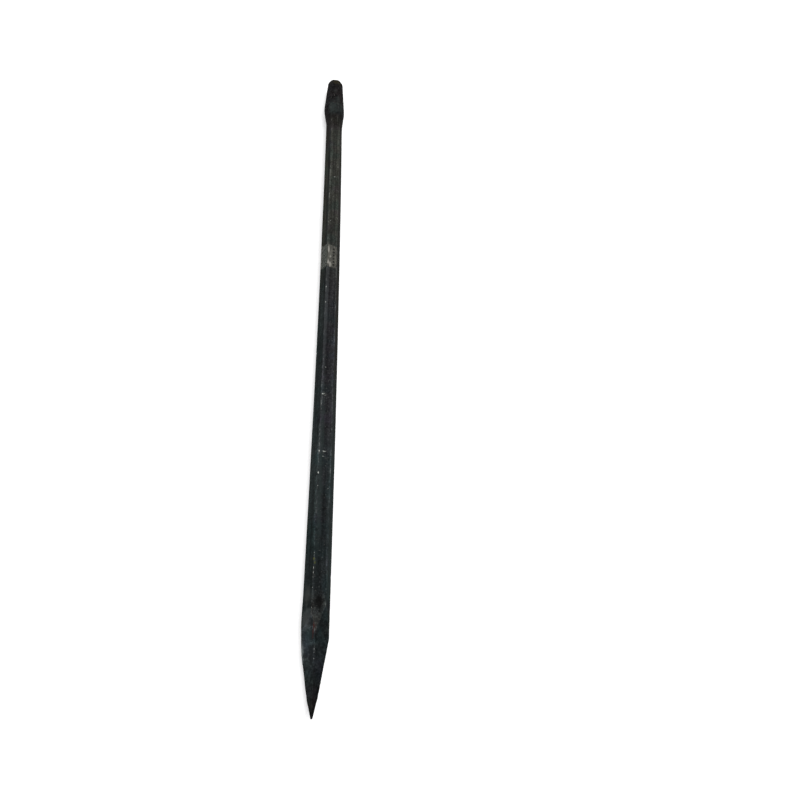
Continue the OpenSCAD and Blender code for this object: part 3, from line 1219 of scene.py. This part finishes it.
# A plain dashed line along the tape: step, place across, half width and ends in metres, and strength
DASH_STEP = 0.0072
DASH_X = 0.0031
DASH_HALF = 0.0019
DASHES_FROM = 0.0432
DASHES_TO = 0.0864
DASH_SOFT = 0.7
DASH_RANGE = (0.38, 0.28)
DASH_ABOVE = (0, 8)
DASH_INK = 0.9


def dashed_line(nodes, bar):
    """Mask of the dashes along the top of the tape."""
    x, y = bar.parts["X"], bar.parts["Y"]
    step = nodes.math("FRACT", nodes.math("DIVIDE", y, DASH_STEP))
    from_middle = nodes.math("ABSOLUTE", nodes.math("SUBTRACT", step, 0.5))
    aside = nodes.math("ABSOLUTE", nodes.math("SUBTRACT", x, DASH_X))
    return nodes.times(
        nodes.ramp(aside, DASH_HALF, DASH_HALF * DASH_SOFT),
        nodes.ramp(from_middle, *DASH_RANGE),
        bar.above(DASH_ABOVE),
        nodes.math("GREATER_THAN", y, DASHES_FROM),
        nodes.math("LESS_THAN", y, DASHES_TO),
    )


def tape_material():
    """Clear packing tape over dark steel: a greyish film with painted shade over the left side faces,
    whitish bubbles and a dashed line.
    """
    material, nodes = new_material("clear_tape_film")
    place = nodes.add("TexCoord").outputs["Object"]
    lifted = nodes.mask("lifted_film")
    bar = BarPlace(nodes, place)
    drawn = nodes.vector("MULTIPLY", place, HAZE_STRETCH)
    haze = nodes.ramp(nodes.grain(drawn, HAZE_DENSITY), *HAZE_RANGE)
    colour = nodes.mix(haze, FILM_DIM, FILM_HAZE)
    # Painted shade on the film past the upper left corner
    colour = nodes.mix(bar.across(FILM_SIDE_ACROSS), colour, FILM_SIDE_PAINTED_SHADE)
    colour = nodes.mix(bar.across(FILM_FOLD_ACROSS), colour, FILM_FOLD)
    colour = nodes.mix(lifted, colour, FILM_BUBBLE)
    dashes = dashed_line(nodes, bar)
    colour = nodes.mix(nodes.times(dashes, DASH_INK), colour, LINE_INK)
    opaque = nodes.math("MAXIMUM", dashes, lifted)
    bump = nodes.add("Bump", {"Strength": 0.15, "Distance": 0.0003, "Height": haze})
    shader = nodes.add("BsdfPrincipled", {
        "Base Color": colour,
        "Roughness": nodes.between(haze, *FILM_ROUGH),
        "Alpha": nodes.math("MAXIMUM", nodes.between(haze, *FILM_COVER), opaque),
        "Specular IOR Level": 0.05,
        "Normal": bump.outputs[0],
    })
    nodes.add("OutputMaterial", {"Surface": shader.outputs[0]})
    return material


# Stains, and patches of painted light and shade: colour, place, reach across, along and up in millimetres,
# strength
# The first two lie across the joint of the point and the shaft
pale_patch = (PALE_SCALE, bar_place(124, -12, 6), (6, 15, 9), 0.28)
soot_patch = (SOOT, bar_place(115, 0, 14), (7, 13, 6), 0.85)
point_stains_and_painted_light = [
    (BLUE_SCALE, bar_place(72, -9, 6), (8, 16, 9), 0.6),
    pale_patch,
    (SCUFFED_SCALE, bar_place(98, -11.5, 6), (9, 16, 11), 0.48),
    # Painted shade beside the point's ridge, on its left
    (DARK_SCALE, bar_place(60, -5.2, 10), (4.6, 36, 10), 0.9),
    (TEAL_SCALE, bar_place(82, -9, 8), (6, 8, 8), 0.55),
    (TEAL_SCALE, bar_place(84, 4, 11), (4, 8, 7), 0.5),
    (DARK_SCALE, bar_place(96, -6.6, 12), (2.4, 16, 6), 0.8),
    (RUST, bar_place(86, -4.5, 13), (1.2, 14, 6), 0.75),
    (RUST, bar_place(88, -2.2, 13), (0.6, 9, 6), 0.4),
    (PALE_SCALE, bar_place(65, -12, 4), (1.0, 4.5, 3.5), 0.45),
    (PALE_SCALE, bar_place(63.5, -9.2, 7), (1.0, 4.5, 3.5), 0.45),
    (PALE_SCALE, bar_place(68, -10.6, 6), (2.4, 1.2, 3.5), 0.45),
    soot_patch,
    # Painted highlight on the rim of the point's lower left facet
    (PAINTED_RIM_HIGHLIGHT, bar_place(61, -13.4, -2.4), (3.0, 20, 5), 0.75),
]
shaft_stains_and_painted_light = [
    # Painted sheen on the top flat along its left and right corners, and a grey painted highlight by the
    # upper left corner
    (PAINTED_LIGHT_BAND, bar_place(290, -5.0, 14), (4.8, 190, 5), 0.6),
    (PAINTED_LIGHT_BAND, bar_place(250, 6.5, 14), (3.6, 115, 5), 0.35),
    (PAINTED_GREY_HIGHLIGHT, bar_place(555, -6.3, 14), (3.6, 150, 5), 0.5),
    pale_patch,
    soot_patch,
    # Painted shadow along the far side face
    (PAINTED_DEEP_SIDE_SHADOW, bar_place(590, 13, 6), (9, 330, 12), 0.7),
    # Painted light on the right side face behind the point
    (PAINTED_LIGHT_BAND, bar_place(175, 13, 7), (9, 95, 12), 0.5),
    (OCHRE, bar_place(163.5, -7.7, 13), (1.4, 2.6, 3), 0.7),
    (OCHRE, bar_place(160, -6.9, 13), (1.8, 2.8, 3), 0.55),
    (PALE_SCALE, bar_place(148, -7.8, 13), (1.0, 12, 3), 0.2),
    (PALE_SCALE, bar_place(295.6, 1.6, 14), (3.5, 2.2, 3), 0.25),
    (PALE_SCALE, bar_place(394.5, -3.5, 14), (6, 3, 3), 0.35),
]
head_stains = [
    (PAINTED_LOW_SIDE_LIGHT_AND_CROWN_STAIN, bar_place(1084, 5, 19), (12, 26, 12), 0.6),
    (CROWN_SCALE, bar_place(1087, -8, 18), (14, 32, 14), 0.85),
    (CROWN_SCALE, bar_place(1092, 10, 16), (8, 22, 11), 0.5),
    (CROWN_SCALE, bar_place(1112, 2, 18), (9, 26, 11), 0.45),
    (PALE_SCALE, bar_place(1150, -2, 17), (5, 14, 8), 0.18),
    (SOOT, bar_place(1113, -11, 14), (6, 12, 9), 0.6),
    (SOOT, bar_place(1165, 11, 11), (6, 13, 10), 0.5),
    (OLIVE_SCALE, bar_place(1186, 1, 14), (15, 14, 13), 0.85),
    (SOOT, bar_place(1174, 4, 17), (5, 9, 8), 0.8),
    (STRUCK_SCALE, bar_place(1200, 1, 0), (17, 4, 17), 0.6),
]

PIECES = [
    (point_piece, "forged_point", "forged_steel", steel_material("forged_point_scale", point_stains_and_painted_light)),
    (shaft_piece, "hex_shaft", "rolled_steel", steel_material("rolled_shaft_scale", shaft_stains_and_painted_light)),
    (head_piece, "striking_head", "forged_steel", steel_material("upset_head_scale", head_stains)),
    (tape_piece, "tape_band", "clear_tape", tape_material()),
]
for piece, node, slot, material in PIECES:
    piece.data.materials.append(material)
    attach(piece, "root")
    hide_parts(node)


# Floor, light and camera, in metres

# The floor's colour, and its glow for rays that are seen: near the bar, where shadow shows, and far off
FLOOR_HALF = 6
FLOOR_COLOUR = (0.8, 0.8, 0.8, 1)
FLOOR_GLOW_REACH = (0.7, 1.8)
FLOOR_GLOW = (0.52, 1.0)

# Strength of the surroundings for light, and for rays that are seen
SKY_STRENGTH = (0.1, 1.0)

# Camera: place, turn in degrees, and its lens and sensor in millimetres
CAMERA_PLACE = (-0.12674, -0.66022, 0.70419)
CAMERA_TURN = (33.863, -17.786, -2.276)
CAMERA_LENS = 26.513
CAMERA_SENSOR = 36
CAMERA_NEAR = 0.01


def seen_rays(nodes):
    """1 for rays that show a surface, straight, in a gloss or through glass, and 0 for rays of light."""
    rays = nodes.add("LightPath").outputs
    seen = nodes.math("MAXIMUM", rays["Is Camera Ray"], rays["Is Glossy Ray"])
    return nodes.math("MAXIMUM", seen, rays["Is Transmission Ray"])


def floor_material():
    """Plain white floor that keeps the shadow of the bar."""
    material, nodes = new_material("white_floor")
    shader = nodes.add("BsdfPrincipled", {
        "Base Color": FLOOR_COLOUR,
        "Roughness": 0.9,
        "Specular IOR Level": 0.0,
    })
    away = nodes.length(nodes.add("NewGeometry").outputs["Position"])
    glow = nodes.ramp(away, *FLOOR_GLOW_REACH, *FLOOR_GLOW)
    glow = nodes.add("Emission", {"Strength": nodes.times(glow, seen_rays(nodes))})
    both = nodes.add("AddShader", {0: shader.outputs[0], 1: glow.outputs[0]})
    nodes.add("OutputMaterial", {"Surface": both.outputs[0]})
    return material


def lay_floor():
    """A white floor that the crown of the head and the near end of the shaft rest on."""
    spots = []
    for piece in (point_piece, shaft_piece, head_piece):
        flat = np.empty(len(piece.data.vertices) * 3)
        piece.data.vertices.foreach_get("co", flat)
        spots.append(flat.reshape(-1, 3))
    spots = np.concatenate(spots)
    crown = spots[np.argmin(spots[:, 2])]
    front = spots[spots[:, 1] < 0]
    slope = ((front[:, 2] - crown[2]) / (crown[1] - front[:, 1])).min()
    vertices = []
    for x, y in ((-1, -1), (1, -1), (1, 1), (-1, 1)):
        height = crown[2] + (crown[1] - y * FLOOR_HALF) * slope
        vertices.append((x * FLOOR_HALF, y * FLOOR_HALF, height))
    mesh = bpy.data.meshes.new("floor")
    mesh.from_pydata(vertices, [], [(0, 1, 2, 3)])
    mesh.materials.append(floor_material())
    floor = bpy.data.objects.new("floor", mesh)
    bpy.context.collection.objects.link(floor)


def area_light(name, place, target, size, power):
    """A square soft light that points at a target."""
    lamp = bpy.data.lights.new(name, "AREA")
    lamp.size = size
    lamp.energy = power
    light = bpy.data.objects.new(name, lamp)
    bpy.context.collection.objects.link(light)
    light.location = place
    aim = Vector(target) - Vector(place)
    light.rotation_euler = aim.to_track_quat("-Z", "Y").to_euler()


def white_surroundings():
    """A world that is white to the eye and gives little light."""
    world = bpy.data.worlds.new("studio")
    bpy.context.scene.world = world
    world.use_nodes = True
    world.node_tree.nodes.clear()
    nodes = Nodes(world.node_tree)
    strength = nodes.between(seen_rays(nodes), *SKY_STRENGTH)
    backdrop = nodes.add("Background", {"Color": (1, 1, 1, 1), "Strength": strength})
    nodes.add("OutputWorld", {"Surface": backdrop.outputs[0]})


def place_camera():
    """The camera, which looks down along the bar from beyond its point."""
    camera_data = bpy.data.cameras.new("camera")
    camera_data.sensor_width = CAMERA_SENSOR
    camera_data.lens = CAMERA_LENS
    camera_data.clip_start = CAMERA_NEAR
    camera = bpy.data.objects.new("camera", camera_data)
    bpy.context.collection.objects.link(camera)
    camera.location = CAMERA_PLACE
    camera.rotation_euler = [math.radians(a) for a in CAMERA_TURN]
    bpy.context.scene.camera = camera


lay_floor()
area_light("overhead", place=(0.3, 0.4, 4.0), target=(0.2, 0, 0), size=3.4, power=160)
area_light("low_fill", place=(-0.8, -0.55, 0.32), target=(0, -0.35, 0), size=0.5, power=2.2)
white_surroundings()
place_camera()
bpy.context.scene.view_settings.view_transform = "Standard"
